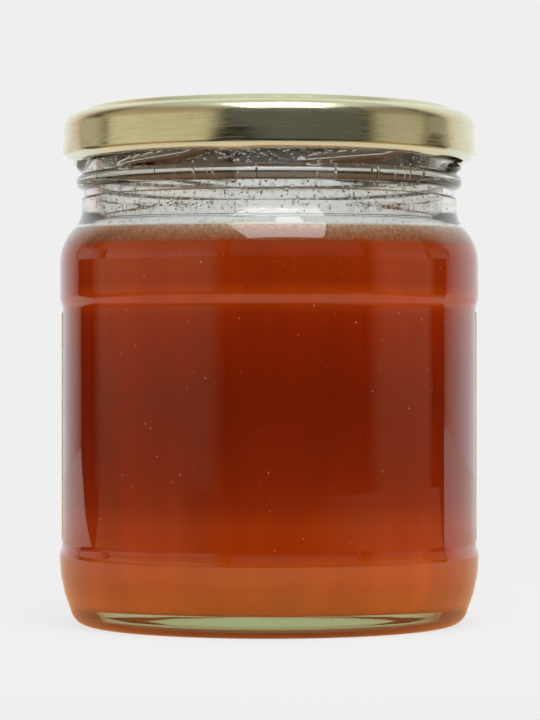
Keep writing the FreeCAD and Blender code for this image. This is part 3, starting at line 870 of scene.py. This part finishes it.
specks = [blob(around(), random.triangular(81.5, 93, 88.5), BORE, random.uniform(0.05, 0.16),
               0.5, random.uniform(0.8, 2.0)) for _ in range(420)]
specks += [blob(around(), random.triangular(84, 92.5, 88), BORE, random.uniform(0.1, 0.24),
                0.5, random.uniform(0.7, 1.8)) for _ in range(150)]
for turn, wide, up, count in ((-0.5, 0.13, 84.9, 190), (0.54, 0.07, 84.9, 80),
                              (-0.1, 0.5, 88.2, 70), (0.9, 0.15, 87.5, 60)):
    specks += [blob(random.gauss(turn, wide), random.gauss(up, 0.35), BORE + 0.05,
                    random.uniform(0.06, 0.2), 0.4, 0.7) for _ in range(count)]
for _ in range(160):
    up = random.triangular(64, 77, 76)
    specks.append(blob(around(), up, inner_radius(up) + 0.04, random.uniform(0.07, 0.14), 0.8))
grains = plain_material("dried_honey_grains", "7C7258", 0.5)
make_piece("neck_specks", scattered(specks, 1), [grains])

bubbles = []
for _ in range(560):
    up = random.uniform(9, 76)
    bubbles.append(blob(around(), up, inner_radius(up) if up > SHOULDER_FOOT else INNER + 0.02,
                        random.choice((0.06, 0.07, 0.08, 0.1, 0.12, 0.18)), 0.7,
                        random.uniform(0.8, 1.6)))
air = plain_material("air_bubbles", "E0A684", 0.4)
make_piece("honey_bubbles", scattered(bubbles, 1), [air])

# %% [markdown]
# ## The lid
# The lid is pressed from thin tinplate with a gold lacquer. A raised ring sits over the
# glass rim, the skirt comes down straight and ends in a rolled curl, and at six places the
# curl is squeezed inwards and down into a lug that catches a thread. The squeeze leaves a
# soft dent outside, which shows as a wave in the reflections along the skirt's edge. The
# curl is painted pale as a painted highlight along it, and the inside is lacquered brown.

# %% Outline of the lid
SHEET = 0.25
CURL = 1.8
FLARE = 0.17
SKIRT = lid_high.x - FLARE
LUG_PLACE = math.radians(-51.5 + 42)
LUG_WIDTH = math.radians(9)
DENT_HEIGHT = 5
DENT_DEPTH = 0.5


def lid_face(inset):
    """One face of the sheet metal, from the middle of the top to the end of the curl."""
    ring_outer = RIM_EDGE + 0.3 + SHEET
    ring_inner = BORE - 0.3 - SHEET
    level, shoulder = LID_TOP - 1.5, LID_TOP - 1.1
    curl_up = LID_FOOT + CURL
    curl_middle = SKIRT + FLARE - CURL
    return [
        (0, level + 0.35 - inset), (27, level + 0.35 - inset), (28.2, level - inset),
        (ring_inner - 0.5, level - inset), (ring_inner + inset, level + 0.5, 0.5 + inset, LEFT),
        (ring_inner + inset, LID_TOP - 0.5), (ring_inner + 0.5, LID_TOP - inset, 0.5 - inset, RIGHT),
        (ring_outer - 1.1, LID_TOP - inset),
        (ring_outer - 0.5 - inset * 0.7, LID_TOP - 0.25 - inset * 0.7, 0.9 - inset, RIGHT),
        (ring_outer + 0.1 - inset * 0.7, shoulder + 0.2 - inset * 0.7),
        (ring_outer + 0.5, shoulder - inset, 0.6 + inset, LEFT),
        (SKIRT - 2.85, shoulder - inset), (SKIRT - inset, shoulder - 2.85, 2.85 - inset, RIGHT),
        (SKIRT - inset + 0.1, curl_up + 2.4), (SKIRT + FLARE - inset, curl_up),
        (curl_middle, LID_FOOT + inset, CURL - inset, RIGHT),
        (curl_middle - CURL / 2 + inset, LID_FOOT + CURL / 2, CURL / 2 - inset, RIGHT),
        (curl_middle, LID_FOOT + CURL - inset, CURL / 2 - inset, RIGHT),
    ]


def lug_nearness(vert):
    """How near a corner is to the middle of a lug: 1 at it, 0 away from it."""
    turn = math.atan2(vert.co.y, vert.co.x) - FRONT - LUG_PLACE
    spacing = math.tau / THREAD_COUNT
    off = abs((turn + spacing / 2) % spacing - spacing / 2)
    return math.exp(-(off / (LUG_WIDTH * 0.62)) ** 2)


def press_dents(mesh):
    """Press the curl in and down at each lug, and the skirt above it a little."""
    for vert in mesh.verts:
        up = vert.co.z / MM - LID_FOOT
        radius = vert.co.xy.length / MM
        if up > DENT_HEIGHT or radius < NECK + 1.5:
            continue
        near = lug_nearness(vert)
        low = max(0, 1 - up / DENT_HEIGHT)
        inward = DENT_DEPTH * near * low ** 1.5
        vert.co.xy *= (radius - inward) / radius
        if up < 2.5:
            vert.co.z -= 0.22 * near * (1 - up / 2.5) * MM
            vert.co.z += 0.12 * (1 - near) * (1 - up / 2.5) * MM


lid_points = outline(lid_face(0)) + list(reversed(outline(lid_face(SHEET))))
lid_mesh = turned(lid_points)
for face in lid_mesh.faces:
    middle = face.calc_center_median()
    outwards = face.normal.xy.dot(middle.xy.normalized())
    hidden = middle.xy.length < (SKIRT - 0.1) * MM and middle.z > (LID_FOOT + CURL) * MM
    face.material_index = int(hidden and (outwards < -0.3 or face.normal.z < -0.5))
press_dents(lid_mesh)
print("lid outline:", len(lid_points), "points")

# %% Lugs under the curl
def add_lugs(mesh):
    """Six flat tabs under the curl, pointing at the neck."""
    for index in range(THREAD_COUNT):
        turn = FRONT + LUG_PLACE + math.tau * index / THREAD_COUNT
        tab = bmesh.ops.create_cube(mesh, size=1.0)["verts"]
        bmesh.ops.scale(mesh, vec=(2.0 * MM, 6.2 * MM, 0.45 * MM), verts=tab)
        edges = {edge for vert in tab for edge in vert.link_edges}
        rounded = bmesh.ops.bevel(mesh, geom=list(edges), offset=0.16 * MM, segments=3,
                                  affect="EDGES", profile=0.5, material=-1)
        tab = list({vert for face in rounded["faces"] for vert in face.verts})
        bmesh.ops.translate(mesh, vec=((NECK + 0.9 + 1.0) * MM, 0, (LID_FOOT + 0.22) * MM),
                            verts=tab)
        bmesh.ops.rotate(mesh, cent=(0, 0, 0), matrix=Matrix.Rotation(turn, 3, "Z"), verts=tab)


add_lugs(lid_mesh)
print("lugs under the curl:", THREAD_COUNT)

# %% Gold lacquer on tinplate
# Painted highlight: the curl is painted pale below the first height, fading out by the second, in
# millimetres above the lid's foot.
HIGHLIGHT_FULL_BELOW = 0.9
HIGHLIGHT_GONE_ABOVE = 1.5
# Real scuffs and grain are finer and would not show, so they are drawn this coarse.
SCUFF = 0.35
LACQUER_GRAIN = 0.5
PATCH = 9


def lacquer_material():
    """Gold-lacquered tinplate: a soft mirror with fine marks from handling, and a painted highlight
    on the curl.
    """
    material, tree, output = new_material("gold_lacquered_tinplate")
    place = add(tree, "ShaderNodeTexCoord").outputs["Object"]
    streaks = add(tree, "ShaderNodeMapping", Vector=place, Scale=(0.06, 0.06, 1.0))
    scratches = add(tree, "ShaderNodeTexNoise", Vector=streaks, Scale=1 / (SCUFF * MM),
                    Detail=3.0, Roughness=0.7).outputs["Fac"]
    grain = add(tree, "ShaderNodeTexNoise", Vector=place, Scale=1 / (LACQUER_GRAIN * MM),
                Detail=4.0)
    rough = add(tree, "ShaderNodeMapRange", {"clamp": True}, Value=scratches,
                From_Min=0.35, From_Max=0.7, To_Min=0.13, To_Max=0.3)
    lines = add(tree, "ShaderNodeMath", {"operation": "MULTIPLY"}, _0=scratches, _1=0.7)
    dots = add(tree, "ShaderNodeMath", {"operation": "MULTIPLY"},
               _0=grain.outputs["Fac"], _1=0.3)
    relief = add(tree, "ShaderNodeMath", {"operation": "ADD"}, _0=lines, _1=dots)
    bump = add(tree, "ShaderNodeBump", Height=relief, Distance=0.012 * MM, Strength=0.5)
    patches = add(tree, "ShaderNodeTexNoise", Vector=place, Scale=1 / (PATCH * MM), Detail=4.0)
    gold = add(tree, "ShaderNodeValToRGB", {"stops": [(0.3, tone("CBCAA6")), (0.7, tone("D2D1B0"))]},
               Fac=patches.outputs["Fac"])
    height = add(tree, "ShaderNodeSeparateXYZ", Vector=place).outputs["Z"]
    # Painted highlight: a pale colour on the curl near the lid's foot.
    painted_curl_highlight = add(tree, "ShaderNodeMapRange", {"clamp": True}, Value=height,
               From_Min=(LID_FOOT + HIGHLIGHT_FULL_BELOW) * MM, From_Max=(LID_FOOT + HIGHLIGHT_GONE_ABOVE) * MM,
               To_Min=1.0, To_Max=0.0)
    colour = add(tree, "ShaderNodeMix", {"data_type": "RGBA"}, _0=painted_curl_highlight, _6=gold,
                 _7=tone("E6F0E6")).outputs[2]
    shader = add(tree, "ShaderNodeBsdfPrincipled", Metallic=1.0, Roughness=rough,
                 Base_Color=colour, Normal=bump)
    tree.links.new(shader.outputs[0], output.inputs["Surface"])
    return material


inner_lacquer = plain_material("brown_lacquer_inside", "CCA684", 0.45)
make_piece("lug_lid", lid_mesh, [lacquer_material(), inner_lacquer], ["lid"], 50)

# %% [markdown]
# ## The label
# A strip of cream paper is glued around the back of the jar, a little more than halfway.
# Its print is plain: a thin line and a honey-coloured band of small checks above and below,
# and a blank field between them. The same print lies on both faces of the sheet, but the
# honey hides the inner one.

# %% Label
LABEL_WRAP = math.radians(194)
PRINT_MARGIN = math.radians(12)
PAPER_FACES = (0.01, 0.15)
BAND_FROM = 13.5
BAND_TO = 21.5
LINE_AT = 12.4
LINE_HALF = 0.35
CHECK = 3.4
CHECK_GAP = 0.07
# Real fibres are far finer and would not show, so they are drawn this coarse.
FIBRE = 0.4


def print_material():
    """Uncoated paper, so quite matt, printed with fields of colour."""
    material, tree, output = new_material("printed_uncoated_paper")
    place = add(tree, "ShaderNodeTexCoord").outputs["Object"]
    parts = add(tree, "ShaderNodeSeparateXYZ", Vector=place).outputs
    middle = (label_low.z + label_high.z) / 2 * MM
    off = add(tree, "ShaderNodeMath", {"operation": "SUBTRACT"}, _0=parts["Z"], _1=middle)
    off = add(tree, "ShaderNodeMath", {"operation": "ABSOLUTE"}, _0=off)
    band = add(tree, "ShaderNodeMath", {"operation": "GREATER_THAN"}, _0=off, _1=BAND_FROM * MM)
    edge = add(tree, "ShaderNodeMath", {"operation": "GREATER_THAN"}, _0=off, _1=BAND_TO * MM)
    line = add(tree, "ShaderNodeMath", {"operation": "COMPARE"}, _0=off, _1=LINE_AT * MM,
               _2=LINE_HALF * MM)
    fibres = add(tree, "ShaderNodeTexNoise", Vector=place, Scale=1 / (FIBRE * MM),
                 Detail=6.0).outputs["Fac"]
    paper = add(tree, "ShaderNodeValToRGB", {"stops": [(0.3, tone("E2D9C2")), (0.7, tone("EDE5D2"))]},
                Fac=fibres)
    turn = add(tree, "ShaderNodeMath", {"operation": "ARCTAN2"}, _0=parts["X"], _1=parts["Y"])
    along = add(tree, "ShaderNodeMath", {"operation": "MULTIPLY"}, _0=turn, _1=PANEL * MM)
    flat = add(tree, "ShaderNodeCombineXYZ", X=along, Y=parts["Z"])
    checks = add(tree, "ShaderNodeTexVoronoi",
                 {"voronoi_dimensions": "2D", "feature": "DISTANCE_TO_EDGE"},
                 Vector=flat, Scale=1 / (CHECK * MM), Randomness=0.0)
    cell = add(tree, "ShaderNodeMath", {"operation": "GREATER_THAN"},
               _0=checks.outputs["Distance"], _1=CHECK_GAP)
    ink = add(tree, "ShaderNodeMix", {"data_type": "RGBA"}, _0=cell, _6=tone("B9761A"),
              _7=tone("DCA03A"))
    away = add(tree, "ShaderNodeMath", {"operation": "ABSOLUTE"}, _0=turn)
    margin = add(tree, "ShaderNodeMath", {"operation": "LESS_THAN"},
                 _0=away, _1=LABEL_WRAP / 2 - PRINT_MARGIN)
    mask = add(tree, "ShaderNodeMath", {"operation": "SUBTRACT"}, _0=band, _1=edge)
    mask = add(tree, "ShaderNodeMath", {"operation": "MAXIMUM"}, _0=mask, _1=line)
    mask = add(tree, "ShaderNodeMath", {"operation": "MULTIPLY"}, _0=mask, _1=margin)
    printed = add(tree, "ShaderNodeMix", {"data_type": "RGBA"}, _0=mask, _6=paper,
                  _7=ink.outputs[2])
    bump = add(tree, "ShaderNodeBump", Height=fibres, Distance=0.02 * MM, Strength=0.5)
    shader = add(tree, "ShaderNodeBsdfPrincipled", Roughness=0.8, Base_Color=printed.outputs[2],
                 Normal=bump)
    tree.links.new(shader.outputs[0], output.inputs["Surface"])
    return material


paper_in, paper_out = (PANEL + face for face in PAPER_FACES)
label_outline = [(paper_in, label_low.z), (paper_out, label_low.z),
                 (paper_out, label_high.z), (paper_in, label_high.z)]
label_mesh = turned([Vector(corner) for corner in label_outline], closed=True,
                    angle=LABEL_WRAP, steps=140, start=math.pi / 2 - LABEL_WRAP / 2)
bmesh.ops.holes_fill(label_mesh, edges=[edge for edge in label_mesh.edges if edge.is_boundary])
bmesh.ops.recalc_face_normals(label_mesh, faces=label_mesh.faces)
make_piece("paper_label", label_mesh, [print_material()], ["label"], 30)
